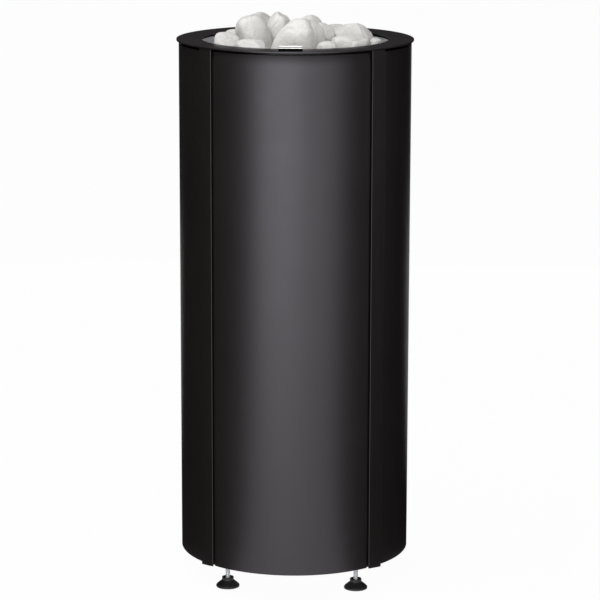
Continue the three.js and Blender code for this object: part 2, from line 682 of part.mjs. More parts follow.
// Corner points of one rounded stone, fitted to its half sizes and its seat and top
function stoneCorners({ x, y, top, seat, halfX, halfY, turn, shape }, count = STONE_POINTS) {
  const goldenTurn = Math.PI * (3 - Math.sqrt(5));
  const bluntness = 2.5;
  const corners = [];
  for (let i = 0; i < count; i += 1) {
    const height = 1 - (2 * (i + 0.5)) / count;
    const radius = Math.sqrt(1 - height * height);
    const corner = new THREE.Vector3(
      radius * Math.cos(i * goldenTurn + shape),
      radius * Math.sin(i * goldenTurn + shape),
      height,
    );
    const sum = [corner.x, corner.y, corner.z].reduce((total, part) => total + Math.abs(part) ** bluntness, 0);
    const wave = Math.sin(2.6 * corner.x + 1.7 * shape) * Math.sin(2.3 * corner.y + 2.9 * shape);
    const lean = Math.sin(1.9 * corner.z + 2.3 * corner.x + 0.8 * shape);
    corner.multiplyScalar((1 + 0.11 * wave + 0.07 * lean) / sum ** (1 / bluntness));
    corners.push(corner);
  }
  const bounds = new THREE.Box3().setFromPoints(corners);
  const size = bounds.getSize(new THREE.Vector3());
  const middle = bounds.getCenter(new THREE.Vector3());
  const scale = new THREE.Vector3((2 * halfX) / size.x, (2 * halfY) / size.y, (top - seat) / size.z);
  const axis = new THREE.Vector3(0, 0, 1);
  const place = new THREE.Vector3(x, y, (top + seat) / 2);
  for (const corner of corners) {
    corner.sub(middle).multiply(scale).applyAxisAngle(axis, radians(turn)).add(place);
  }
  return corners;
}

// Space that a loose stone needs where it lies and on its way up
function stoneWay(stone) {
  const grown = stoneCorners({
    ...stone,
    top: stone.top + STONE_CLEARANCE,
    seat: STONE_SEAT - STONE_CLEARANCE,
    halfX: stone.halfX + STONE_CLEARANCE,
    halfY: stone.halfY + STONE_CLEARANCE,
  });
  const lifted = grown.map((corner) => corner.clone().setZ(corner.z + STONE_LIFT));
  return new ConvexGeometry([...grown, ...lifted]);
}

for (const stone of STONES) {
  add(stone.name, new ConvexGeometry(stoneCorners({ ...stone, seat: STONE_SEAT })), WHITE_STONE);
}

// Stone filling round the elements, with the tops of its stones showing between the loose ones
const bedStones = [];
const rowHeight = (BED_STONE_SPACING * Math.sqrt(3)) / 2;
const rows = Math.ceil(BED_REACH / rowHeight);
for (let row = -rows; row <= rows; row += 1) {
  for (let column = -rows; column <= rows; column += 1) {
    const x = (column + (row % 2 === 0 ? 0 : 0.5)) * BED_STONE_SPACING;
    const y = row * rowHeight;
    if (Math.hypot(x, y) > BED_REACH) continue;
    const shape = 20 + bedStones.length;
    const stone = {
      x,
      y,
      top: BED_STONE_TOP + 5 * Math.sin(2.1 * shape),
      seat: BED_STONE_BOTTOM,
      halfX: BED_STONE_HALF + 2 * Math.sin(1.3 * shape),
      halfY: BED_STONE_HALF + 2 * Math.cos(1.7 * shape),
      turn: 0,
      shape,
    };
    bedStones.push(new ConvexGeometry(stoneCorners(stone, BED_STONE_POINTS)));
  }
}
const bedFill = upright(BED_RADIUS, GRATE_TOP + GAP, BED_TOP, 0, 0, 64);
const elementWays = ELEMENT_ROWS.flatMap((y) => {
  const radius = ELEMENT_RADIUS + ELEMENT_CLEARANCE;
  const legs = [-1, 1].map((side) => {
    return upright(radius, GRATE_BOTTOM, ELEMENT_BEND_HEIGHT + 0.5, side * ELEMENT_HALF_SPAN, y, 8);
  });
  return [bendTube(y, radius), ...legs];
});
add("stone_bed", cut(join(bedFill, ...bedStones), ...STONES.map(stoneWay), ...elementWays), WHITE_STONE);

export default heater;
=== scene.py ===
import math

import bmesh
import bpy
from mathutils import Matrix, Vector, geometry, noise


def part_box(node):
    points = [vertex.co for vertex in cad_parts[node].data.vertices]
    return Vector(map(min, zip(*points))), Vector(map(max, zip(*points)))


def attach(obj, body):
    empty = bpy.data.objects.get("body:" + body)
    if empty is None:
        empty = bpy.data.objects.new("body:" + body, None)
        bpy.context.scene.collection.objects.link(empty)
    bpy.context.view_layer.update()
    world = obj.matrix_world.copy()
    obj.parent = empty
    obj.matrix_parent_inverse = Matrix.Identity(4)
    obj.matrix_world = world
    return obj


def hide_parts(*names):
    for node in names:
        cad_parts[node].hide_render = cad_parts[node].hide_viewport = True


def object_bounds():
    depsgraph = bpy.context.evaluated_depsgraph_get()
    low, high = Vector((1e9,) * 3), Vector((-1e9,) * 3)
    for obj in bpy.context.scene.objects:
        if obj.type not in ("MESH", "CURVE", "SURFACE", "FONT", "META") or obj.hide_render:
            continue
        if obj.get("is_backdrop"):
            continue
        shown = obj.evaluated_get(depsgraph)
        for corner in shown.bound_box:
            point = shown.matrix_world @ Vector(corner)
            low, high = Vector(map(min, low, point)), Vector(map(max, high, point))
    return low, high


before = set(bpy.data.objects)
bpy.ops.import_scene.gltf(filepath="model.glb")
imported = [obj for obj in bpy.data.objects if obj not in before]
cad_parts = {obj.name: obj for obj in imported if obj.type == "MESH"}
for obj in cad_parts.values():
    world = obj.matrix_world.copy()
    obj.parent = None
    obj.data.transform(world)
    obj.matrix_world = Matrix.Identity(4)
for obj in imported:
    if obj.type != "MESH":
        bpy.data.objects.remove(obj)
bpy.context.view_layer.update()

scene = bpy.context.scene
scene.view_settings.view_transform = "Standard"

# Seed of the stones' faces
STONE_SEED = 2
noise.seed_set(STONE_SEED)

# Sizes in metres, the same as the solids'
CASING_RADIUS = 0.200
SHEET = 0.0015
PANEL_BOTTOM = 0.050
PANEL_TOP = 0.943
POST_ANGLE = 46
POST_WIDTH = 0.0295
POST_INNER = 0.2004
POST_OUTER = 0.2028
POST_TOP = 0.9472
TAB_BOTTOM = 0.0464
TAB_SLANT = 0.0024
WEB_HALF = 0.0015
WEB_INNER = 0.188
RING_TOP = 0.950
RING_BOTTOM = 0.9475
RING_OUTER = 0.204
RING_INNER = 0.161
BADGE_HALF = 0.020
BADGE_LOW = 0.9503
BADGE_HIGH = 0.9593
BADGE_FRONT = -0.195
BADGE_BACK = -0.1926
DARK_HIGH = BADGE_LOW + 0.0046
GROOVE_LOW = BADGE_LOW + 0.0060
GROOVE_HIGH = BADGE_LOW + 0.0072
CONTAINER_INNER = 0.165
CONTAINER_TOP = 0.9435
CONTAINER_BOTTOM = 0.0623
FOOT_RADIUS = 0.1555
STUD_RADIUS = 0.004
STUD_BOTTOM = 0.0073
STUD_TOP = 0.104
THREAD_PITCH = 0.00125

CORNERS = {
    "front_left": -POST_ANGLE,
    "front_right": POST_ANGLE,
    "rear_right": 180 - POST_ANGLE,
    "rear_left": 180 + POST_ANGLE,
}
PANELS = {
    "front_panel": (-POST_ANGLE, POST_ANGLE),
    "right_panel": (POST_ANGLE, 180 - POST_ANGLE),
    "rear_panel": (180 - POST_ANGLE, 180 + POST_ANGLE),
    "left_panel": (180 + POST_ANGLE, 360 - POST_ANGLE),
}


# Shader helpers
class Shader:
    """A node material with one principled shader, built up a link at a time."""

    def __init__(self, name):
        self.material = bpy.data.materials.new(name)
        self.material.use_nodes = True
        self.tree = self.material.node_tree
        self.surface = self.tree.nodes["Principled BSDF"]
        self.place = self.tree.nodes.new("ShaderNodeTexCoord").outputs["Object"]

    def set(self, **values):
        for name, value in values.items():
            self.surface.inputs[name.replace("_", " ")].default_value = value

    def link(self, source, name):
        self.tree.links.new(source, self.surface.inputs[name])

    def node(self, kind, inputs=None, **settings):
        made = self.tree.nodes.new(kind)
        for key, value in settings.items():
            setattr(made, key, value)
        for key, value in (inputs or {}).items():
            if isinstance(value, bpy.types.NodeSocket):
                self.tree.links.new(value, made.inputs[key])
            else:
                made.inputs[key].default_value = value
        return made

    def stretched(self, scale):
        return self.node("ShaderNodeMapping", {"Vector": self.place, "Scale": scale}).outputs["Vector"]

    def noise(self, scale, detail=3.0, roughness=0.5, vector=None):
        inputs = {"Vector": vector or self.place, "Scale": scale, "Detail": detail, "Roughness": roughness}
        return self.node("ShaderNodeTexNoise", inputs).outputs["Fac"]

    def ramp(self, factor, stops):
        made = self.node("ShaderNodeValToRGB", {"Fac": factor})
        points = made.color_ramp.elements
        points.remove(points[1])
        points[0].position = stops[0][0]
        points[0].color = (*stops[0][1], 1.0)
        for position, colour in stops[1:]:
            points.new(position).color = (*colour, 1.0)
        return made.outputs["Color"]

    def between(self, factor, low, high):
        inputs = {"Value": factor, "To Min": low, "To Max": high}
        return self.node("ShaderNodeMapRange", inputs).outputs["Result"]

    def mix(self, factor, first, second):
        made = self.node("ShaderNodeMix", data_type="RGBA")
        for socket, value in ((made.inputs[0], factor), (made.inputs[6], first), (made.inputs[7], second)):
            if isinstance(value, bpy.types.NodeSocket):
                self.tree.links.new(value, socket)
            else:
                socket.default_value = value
        return made.outputs[2]

    def bump(self, layers):
        """Stacks (height, strength, distance) layers and links the result as the normal."""
        normal = None
        for height, strength, distance in layers:
            inputs = {"Height": height, "Strength": strength, "Distance": distance}
            if normal is not None:
                inputs["Normal"] = normal
            normal = self.node("ShaderNodeBump", inputs).outputs["Normal"]
        self.link(normal, "Normal")


def black_paint():
    paint = Shader("satin_black_paint")
    tone = paint.noise(7.0, 4.0)
    base = paint.ramp(tone, [(0.3, (0.0068, 0.0047, 0.0042)), (0.7, (0.0088, 0.0062, 0.0056))])
    paint.link(base, "Base Color")
    paint.link(paint.between(paint.noise(38.0, 5.0), 0.40, 0.46), "Roughness")
    paint.set(Specular_IOR_Level=0.7, Specular_Tint=(0.93, 0.895, 1.0, 1.0))
    peel = paint.noise(950.0, 2.0)
    waves = paint.noise(6.0, 1.0)
    paint.bump([(waves, 0.08, 0.004), (peel, 0.06, 0.0004)])
    return paint.material


# Near black: painted shade for the outer side of the container wall, in the gap under the ring
PAINTED_SHADE = (0.012, 0.011, 0.011, 1.0)
PAINTED_SHADE_BLEND = 0.0002


def stainless(name, colour, roughness, stretch, metal=1.0, painted_shade_beyond=None):
    """Steel with drawn streaks. Beyond a distance from the upright axis it is painted near black, as
    painted shade for the gap under the ring.
    """
    steel = Shader(name)
    streaks = steel.noise(160.0, 4.0, 0.6, steel.stretched(stretch))
    cloud = steel.noise(14.0, 3.0)
    dark = tuple(0.8 * part for part in colour)
    tint = steel.mix(cloud, (*dark, 1.0), (*colour, 1.0))
    # Painted shade: beyond the given distance the steel is mixed to near black
    if painted_shade_beyond is not None:
        level = {0: steel.place, 1: (1.0, 1.0, 0.0)}
        flat = steel.node("ShaderNodeVectorMath", level, operation="MULTIPLY").outputs[0]
        reach = steel.node("ShaderNodeVectorMath", {0: flat}, operation="LENGTH").outputs["Value"]
        edges = {"Value": reach, "From Min": painted_shade_beyond - PAINTED_SHADE_BLEND, "From Max": painted_shade_beyond + PAINTED_SHADE_BLEND}
        outside = steel.node("ShaderNodeMapRange", edges).outputs["Result"]
        tint = steel.mix(outside, tint, PAINTED_SHADE)
    steel.link(tint, "Base Color")
    steel.link(steel.between(streaks, roughness - 0.07, roughness + 0.09), "Roughness")
    steel.set(Metallic=metal)
    steel.bump([(streaks, 0.12, 0.0004)])
    return steel.material


def white_stone():
    stone = Shader("white_stone")
    cloud = stone.noise(22.0, 5.0, 0.55)
    shades = [
        (0.25, (0.69, 0.68, 0.652)),
        (0.5, (0.765, 0.757, 0.733)),
        (0.75, (0.83, 0.825, 0.803)),
    ]
    base = stone.ramp(cloud, shades)
    veins = stone.noise(42.0, 6.0, 0.6, stone.stretched((1.0, 0.6, 1.7)))
    vein_mask = stone.ramp(veins, [(0.46, (0, 0, 0)), (0.5, (1, 1, 1)), (0.54, (0, 0, 0))])
    shade = stone.mix(stone.between(vein_mask, 0.0, 0.27), base, (0.46, 0.44, 0.42, 1.0))
    stone.link(shade, "Base Color")
    stone.link(stone.between(cloud, 0.5, 0.68), "Roughness")
    grain = stone.noise(420.0, 4.0, 0.6)
    pits = stone.node("ShaderNodeTexVoronoi", {"Vector": stone.place, "Scale": 210.0}).outputs["Distance"]
    stone.bump([(cloud, 0.4, 0.004), (pits, 0.16, 0.0008), (grain, 0.2, 0.0004)])
    return stone.material


def rubber():
    pad = Shader("black_rubber")
    tone = pad.noise(60.0, 4.0)
    base = pad.ramp(tone, [(0.3, (0.008, 0.0075, 0.008)), (0.7, (0.014, 0.013, 0.0135))])
    pad.link(base, "Base Color")
    pad.link(pad.between(tone, 0.48, 0.62), "Roughness")
    pad.bump([(pad.noise(1400.0, 2.0), 0.12, 0.0003)])
    return pad.material


def plastic(name, colour, roughness):
    made = Shader(name)
    tone = made.noise(45.0, 4.0)
    dark = tuple(0.85 * part for part in colour)
    made.link(made.mix(tone, (*dark, 1.0), (*colour, 1.0)), "Base Color")
    made.link(made.between(tone, roughness - 0.05, roughness + 0.05), "Roughness")
    made.bump([(made.noise(1100.0, 2.0), 0.08, 0.0003)])
    return made.material


BAND_BLEND = 0.01


def badge_metal():
    """Polished, with the groove painted near black as painted shade and a dark band along the bottom."""
    plate = Shader("bare_plate")
    height = plate.node("ShaderNodeSeparateXYZ", {"Vector": plate.place}).outputs["Z"]
    ends = {"Value": height, "From Min": BADGE_LOW, "From Max": BADGE_HIGH}
    share = plate.node("ShaderNodeMapRange", ends).outputs["Result"]
    size = BADGE_HIGH - BADGE_LOW
    stops = [(0.0, (0, 0, 0))]
    # The groove band is painted near black as painted shade; the band along the bottom is dark as well
    for edge, before, after in ((DARK_HIGH, 0, 1), (GROOVE_LOW, 1, 0), (GROOVE_HIGH, 0, 1)):
        place = (edge - BADGE_LOW) / size
        stops.append((place - BAND_BLEND, (before, before, before)))
        stops.append((place + BAND_BLEND, (after, after, after)))
    band = plate.ramp(share, stops)
    lines = plate.noise(120.0, 4.0, 0.6, plate.stretched((1.0, 1.0, 30.0)))
    bright = plate.mix(lines, (0.66, 0.66, 0.66, 1.0), (0.76, 0.76, 0.75, 1.0))
    plate.link(plate.mix(band, (0.004, 0.004, 0.004, 1.0), bright), "Base Color")
    plate.link(plate.between(band, 0.0, 0.35), "Metallic")
    plate.link(plate.between(lines, 0.22, 0.34), "Roughness")
    plate.set(Specular_IOR_Level=0.0)
    plate.bump([(lines, 0.05, 0.0002)])
    return plate.material


PAINT = black_paint()
# The outer half of the container wall gets painted shade, near black
mid_wall = CONTAINER_INNER + SHEET / 2
CONTAINER_STEEL = stainless("container_steel", (0.62, 0.64, 0.67), 0.36, (1.0, 1.0, 0.04), 0.3, mid_wall)
PLATED = stainless("plated_sheet", (0.52, 0.52, 0.53), 0.40, (0.2, 1.0, 1.0))
ZINC = stainless("bright_zinc", (0.86, 0.87, 0.90), 0.28, (1.0, 1.0, 0.3), 0.55)
ELEMENT_STEEL = stainless("element_sheath", (0.20, 0.19, 0.18), 0.46, (1.0, 1.0, 0.1))
COPPER = stainless("copper_tube", (0.62, 0.33, 0.20), 0.34, (1.0, 1.0, 0.1))
STONE = white_stone()
RUBBER = rubber()
BADGE = badge_metal()
PALE_PLASTIC = plastic("pale_plastic", (0.60, 0.58, 0.52), 0.5)
BLACK_PLASTIC = plastic("black_plastic", (0.016, 0.016, 0.017), 0.5)
RED_PLASTIC = plastic("red_plastic", (0.40, 0.024, 0.016), 0.45)


# Mesh helpers. Edges count as sharp from these angles on.
FOLDED_SHARP = 35.0
BEVEL_SHARP = 50.0
PAD_SHARP = 50.0
TURNED_SHARP = 60.0
STONE_SHARP = 180.0


def piece(name, bm, material, body, nodes, sharp=FOLDED_SHARP):
    """Object from a bmesh, smooth apart from its sharp edges, tied to its body. The solids of its nodes are
    hidden.
    """
    bmesh.ops.recalc_face_normals(bm, faces=bm.faces)
    mesh = bpy.data.meshes.new(name)
    bm.to_mesh(mesh)
    bm.free()
    mesh.materials.append(material)
    mesh.shade_smooth()
    mesh.set_sharp_from_angle(angle=math.radians(sharp))
    made = bpy.data.objects.new(name, mesh)
    scene.collection.objects.link(made)
    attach(made, body)
    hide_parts(*nodes)
    return made


def bevel(made, width, segments=3):
    """Rounds the sharp edges of a finished piece."""
    rounding = made.modifiers.new("edges", "BEVEL")
    rounding.width = width
    rounding.segments = segments
    rounding.limit_method = "ANGLE"
    rounding.angle_limit = math.radians(BEVEL_SHARP)
    rounding.harden_normals = True


def around(angle, radius, height=0.0):
    """Point at an angle about the upright axis, counted from the front towards the right."""
    turn = math.radians(angle)
    return Vector((radius * math.sin(turn), -radius * math.cos(turn), height))


def prism(outline, *levels, shell=False):
    """Upright prism over a closed outline of (x, y) points. A level is a height, or a height and a scale.

    A shell's outline runs out along one side and back along the other, and strips close its ends.
    """
    bm = bmesh.new()
    rings = []
    for level in levels:
        height, scale = level if isinstance(level, tuple) else (level, 1.0)
        rings.append([bm.verts.new((x * scale, y * scale, height)) for x, y in outline])
    count = len(outline)
    for lower, upper in zip(rings, rings[1:]):
        for i in range(count):
            j = (i + 1) % count
            bm.faces.new((lower[i], lower[j], upper[j], upper[i]))
    for ring in (rings[0][::-1], rings[-1]):
        if not shell:
            bm.faces.new(ring)
            continue
        for i in range(count // 2 - 1):
            bm.faces.new((ring[i], ring[i + 1], ring[count - 2 - i], ring[count - 1 - i]))
    return bm


def arc(radius, start, end, steps):
    """(x, y) points along a level arc about the upright axis."""
    points = [around(start + (end - start) * i / steps, radius) for i in range(steps + 1)]
    return [(point.x, point.y) for point in points]


def lathe(profile, segments, centre=(0.0, 0.0), closed=True):
    """Revolves (radius, height) points about an upright axis. Points on the axis become single vertices."""
    bm = bmesh.new()
    rings = []
    for radius, height in profile:
        if radius < 1e-9:
            rings.append([bm.verts.new((centre[0], centre[1], height))])
            continue
        ring = []
        for k in range(segments):
            turn = 2 * math.pi * k / segments
            x = centre[0] + radius * math.cos(turn)
            y = centre[1] + radius * math.sin(turn)
            ring.append(bm.verts.new((x, y, height)))
        rings.append(ring)
    pairs = list(zip(rings, rings[1:]))
    if closed:
        pairs.append((rings[-1], rings[0]))
    for first, second in pairs:
        for k in range(segments):
            nxt = (k + 1) % segments
            if len(first) == 1 and len(second) == 1:
                break
            if len(first) == 1:
                bm.faces.new((first[0], second[nxt], second[k]))
            elif len(second) == 1:
                bm.faces.new((first[k], first[nxt], second[0]))
            else:
                bm.faces.new((first[k], first[nxt], second[nxt], second[k]))
    return bm


LARGEST_ROUND = 0.45


def rounded(points, radius, steps=3):
    """Copy of a closed profile with its corners rounded. A corner may carry a radius of its own."""
    result = []
    count = len(points)
    for i, corner in enumerate(points):
        here = Vector(corner[:2])
        own = corner[2] if len(corner) > 2 else radius
        if own <= 0:
            result.append(tuple(here))
            continue
        before = Vector(points[i - 1][:2]) - here
        after = Vector(points[(i + 1) % count][:2]) - here
        own = min(own, LARGEST_ROUND * before.length, LARGEST_ROUND * after.length)
        start = here + before.normalized() * own
        end = here + after.normalized() * own
        for k in range(steps + 1):
            t = k / steps
            result.append(tuple((1 - t) ** 2 * start + 2 * t * (1 - t) * here + t * t * end))
    return result


# Casing panels, whose side edges are set back under the posts so that a shadow line shows beside each post
EDGE_GAP = 0.0025
SET_BACK = 0.0032
SHADOW_LINE = 0.0022
EDGE_ROUND = 0.0012
EDGE_STEPS = 5
FACE_STEPS = 72
PANEL_BEVEL = 0.0005
edge_angle = math.degrees(EDGE_GAP / (CASING_RADIUS - SHEET))
step_angle = math.degrees((POST_WIDTH / 2 + SHADOW_LINE) / CASING_RADIUS)
roll_angle = math.degrees(EDGE_ROUND / CASING_RADIUS)
TOP_ROLL_HEIGHT = 0.026
TOP_ROLL_DEPTH = 0.0032
TOP_ROLL_CURVE = 2.3
TOP_ROLL_STEPS = 8
ROLLED_PANELS = ("front_panel", "rear_panel")
TOP_ROLL = []
for k in range(TOP_ROLL_STEPS + 1):
    share = k / TOP_ROLL_STEPS
    height = PANEL_TOP - TOP_ROLL_HEIGHT * (1 - share)
    TOP_ROLL.append((height, 1 - TOP_ROLL_DEPTH / CASING_RADIUS * share**TOP_ROLL_CURVE))


def panel_edge(angle, direction):
    """(angle, radius) points of a panel's side edge, from the web to the face."""
    low = CASING_RADIUS - SET_BACK
    points = [(angle + direction * edge_angle, low)]
    points.append((angle + direction * (step_angle - 0.5 * roll_angle), low))
    for k in range(EDGE_STEPS + 1):
        turn = math.pi / 2 * k / EDGE_STEPS
        radius = CASING_RADIUS - EDGE_ROUND * (1 - math.sin(turn))
        points.append((angle + direction * (step_angle + roll_angle * (1 - math.cos(turn))), radius))
    return points


for name, (start, end) in PANELS.items():
    first = panel_edge(start, 1)
    last = panel_edge(end, -1)[::-1]
    face_start, face_end = first[-1][0], last[0][0]
    face_step = (face_end - face_start) / FACE_STEPS
    middle = [(face_start + face_step * k, CASING_RADIUS) for k in range(1, FACE_STEPS)]
    profile = first + middle + last
    outer = [around(angle, radius) for angle, radius in profile]
    inner = [around(angle, radius - SHEET) for angle, radius in profile[::-1]]
    outline = [(point.x, point.y) for point in outer + inner]
    top = TOP_ROLL if name in ROLLED_PANELS else [PANEL_TOP]
    sheet = prism(outline, PANEL_BOTTOM, *top, shell=True)
    bevel(piece(name, sheet, PAINT, "heater", [name]), PANEL_BEVEL)

# Posts with a curved strip outside, a web between the panels and a slanted tab below
STRIP_STEPS = 12
WING_STEPS = 5
POST_BEVEL = 0.0008
half_post = math.degrees(POST_WIDTH / 2 / POST_OUTER)
web_angle = math.degrees(WEB_HALF / POST_INNER)
for name, angle in CORNERS.items():
    outline = arc(POST_OUTER, angle - half_post, angle + half_post, STRIP_STEPS)
    outline += arc(POST_INNER, angle + half_post, angle + web_angle, WING_STEPS)
    side = Vector((math.cos(math.radians(angle)), math.sin(math.radians(angle)), 0.0)) * WEB_HALF
    for direction in (1, -1):
        foot = around(angle, WEB_INNER) + direction * side
        outline.append((foot.x, foot.y))
    outline += arc(POST_INNER, angle - web_angle, angle - half_post, WING_STEPS)
    node = f"post_{name}"
    strip = prism(outline, TAB_BOTTOM, POST_TOP)
    towards_face = -1 if name in ("front_right", "rear_left") else 1
    for vert in strip.verts:
        if vert.co.z < PANEL_BOTTOM:
            across = vert.co.xy.dot(side.xy) / WEB_HALF / (POST_WIDTH / 2)
            vert.co.z += TAB_SLANT * (0.5 + 0.5 * towards_face * across)
    bevel(piece(node, strip, PAINT, "heater", [node]), POST_BEVEL)

# Top ring
RING_ROUND = 0.0004
RING_SEGMENTS = 256
ring_corners = [
    (RING_INNER, RING_BOTTOM),
    (RING_OUTER, RING_BOTTOM),
    (RING_OUTER, RING_TOP),
    (RING_INNER, RING_TOP),
]
ring = lathe(rounded(ring_corners, RING_ROUND), RING_SEGMENTS)
piece("top_ring", ring, PAINT, "heater", ["top_ring"], TURNED_SHARP)

# Bare plate on the ring: a polished band above a groove and a dark band
GROOVE_DEPTH = 0.0006
GROOVE_DRAFT = 0.0001
PLATE_BEVEL = 0.0004
plate_profile = [
    (BADGE_BACK, BADGE_LOW),
    (BADGE_FRONT, BADGE_LOW),
    (BADGE_FRONT, GROOVE_LOW),
    (BADGE_FRONT + GROOVE_DEPTH, GROOVE_LOW + GROOVE_DRAFT),
    (BADGE_FRONT + GROOVE_DEPTH, GROOVE_HIGH - GROOVE_DRAFT),
    (BADGE_FRONT, GROOVE_HIGH),
    (BADGE_FRONT, BADGE_HIGH),
    (BADGE_BACK, BADGE_HIGH),
]
plate = bmesh.new()
ends = []
for x in (-BADGE_HALF, BADGE_HALF):
    ends.append([plate.verts.new((x, y, z)) for y, z in plate_profile])
for i in range(len(plate_profile)):
    j = (i + 1) % len(plate_profile)
    plate.faces.new((ends[0][i], ends[0][j], ends[1][j], ends[1][i]))
plate.faces.new(ends[0])
plate.faces.new(ends[1][::-1])
bevel(piece("badge_plate", plate, BADGE, "heater", ["badge_plate"]), PLATE_BEVEL, 2)

# Stone container with a rounded rim
RIM_ROUND = 0.0006
CONTAINER_SEGMENTS = 192
container_outer = CONTAINER_INNER + SHEET
container_corners = [
    (container_outer, CONTAINER_BOTTOM),
    (container_outer, CONTAINER_TOP),
    (CONTAINER_INNER, CONTAINER_TOP),
    (CONTAINER_INNER, CONTAINER_BOTTOM),
]
wall = lathe(rounded(container_corners, RIM_ROUND), CONTAINER_SEGMENTS)
container = "stone_container"
piece(container, wall, CONTAINER_STEEL, "heater", [container], TURNED_SHARP)

# Levelling feet: a moulded pad with a cup, and a threaded stud
PAD_SEGMENTS = 64
PAD_ROUND_STEPS = 4
STUD_SIDES = 24
STUD_ROWS_A_TURN = 5
THREAD_DEPTH = 0.00055
STUD_END_TAPER = 0.0007
STUD_END_ROWS = 4
# Radius, height and rounding of each corner
pad_profile = [
    (0.0, 0.0, 0.0),
    (0.0203, 0.0, 0.0006),
    (0.0206, 0.0030, 0.0012),
    (0.0176, 0.0060, 0.004),
    (0.0112, 0.0112, 0.004),
    (0.0102, 0.0125, 0.0006),
    (0.0102, 0.0175, 0.0008),
    (0.0078, 0.0175, 0.0008),
    (0.0076, 0.0120, 0.0010),
    (0.0044, 0.0120, 0.0),
    (0.0044, 0.0070, 0.0),
    (0.0, 0.0070, 0.0),
]


def threaded_stud(centre):
    """Screw with a rolled thread: each ring's radius follows the helix."""
    bm = bmesh.new()
    count = int((STUD_TOP - STUD_BOTTOM) / (THREAD_PITCH / STUD_ROWS_A_TURN))
    rings = []
    for row in range(count + 1):
        height = STUD_BOTTOM + (STUD_TOP - STUD_BOTTOM) * row / count
        taper = min(1.0, row / STUD_END_ROWS, (count - row) / STUD_END_ROWS)
        ring = []
        for k in range(STUD_SIDES):
            turn = 2 * math.pi * k / STUD_SIDES
            phase = (height / THREAD_PITCH - k / STUD_SIDES) % 1.0
            crest = 1 - abs(2 * phase - 1)
            radius = STUD_RADIUS - THREAD_DEPTH * (1 - crest) - STUD_END_TAPER * (1 - taper)
            x = centre.x + radius * math.cos(turn)
            y = centre.y + radius * math.sin(turn)
            ring.append(bm.verts.new((x, y, height)))
        rings.append(ring)
    for lower, upper in zip(rings, rings[1:]):
        for k in range(STUD_SIDES):
            nxt = (k + 1) % STUD_SIDES
            bm.faces.new((lower[k], lower[nxt], upper[nxt], upper[k]))
    bm.faces.new(rings[0][::-1])
    bm.faces.new(rings[-1])
    return bm


for name, angle in CORNERS.items():
    centre = around(angle, FOOT_RADIUS)
    pad_node, stud_node = f"foot_pad_{name}", f"foot_stud_{name}"
    pad = lathe(rounded(pad_profile, 0.0, PAD_ROUND_STEPS), PAD_SEGMENTS, (centre.x, centre.y))
    piece(pad_node, pad, RUBBER, pad_node, [pad_node], PAD_SHARP)
    piece(stud_node, threaded_stud(centre), ZINC, stud_node, [stud_node], TURNED_SHARP)


# Stones
SWELL_DEPTH = 0.0018
SWELL_SCALE = 38.0
GRAIN_DEPTH = 0.00035
GRAIN_SCALE = 190.0
CREASE_DEPTH = 0.0014
CREASE_SCALE = 24.0
CREASE_SLOPE = 9
LARGEST_GROWTH = 1.03
SMOOTH_SHARE = 0.5
ALL_AXES = {"use_axis_x": True, "use_axis_y": True, "use_axis_z": True}


def stone_mesh(low, high, reach_of, seed, detail=5, soften=6):
    """Rounded stone in a box: a ball pushed out to a shape, softened, then roughened with noise."""
    bm = bmesh.new()
    bmesh.ops.create_icosphere(bm, subdivisions=detail, radius=1.0)
    middle = (low + high) / 2
    for vert in bm.verts:
        vert.co = middle + vert.co.normalized() * reach_of(vert.co.normalized())
    for _ in range(soften):
        bmesh.ops.smooth_vert(bm, verts=bm.verts, factor=SMOOTH_SHARE, **ALL_AXES)
    lift = Vector((seed * 3.17, seed * 1.71, seed * 2.33))
    for vert in bm.verts:
        out = (vert.co - middle).normalized()
        swell = noise.noise(vert.co * SWELL_SCALE + lift)
        grain = noise.noise(vert.co * GRAIN_SCALE + lift)
        crease = max(0.0, 1 - CREASE_SLOPE * abs(noise.noise(vert.co * CREASE_SCALE - lift)))
        vert.co += out * (SWELL_DEPTH * swell + GRAIN_DEPTH * grain - CREASE_DEPTH * crease)
    lowest = Vector([min(v.co[axis] for v in bm.verts) for axis in range(3)])
    highest = Vector([max(v.co[axis] for v in bm.verts) for axis in range(3)])
    for vert in bm.verts:
        for axis in range(3):
            growth = min(LARGEST_GROWTH, (high[axis] - low[axis]) / (highest[axis] - lowest[axis]))
            from_top = (vert.co[axis] - highest[axis]) * growth + high[axis]
            from_middle = middle[axis] + (vert.co[axis] - middle[axis]) * growth
            vert.co[axis] = from_top if axis == 2 else from_middle
    return bm


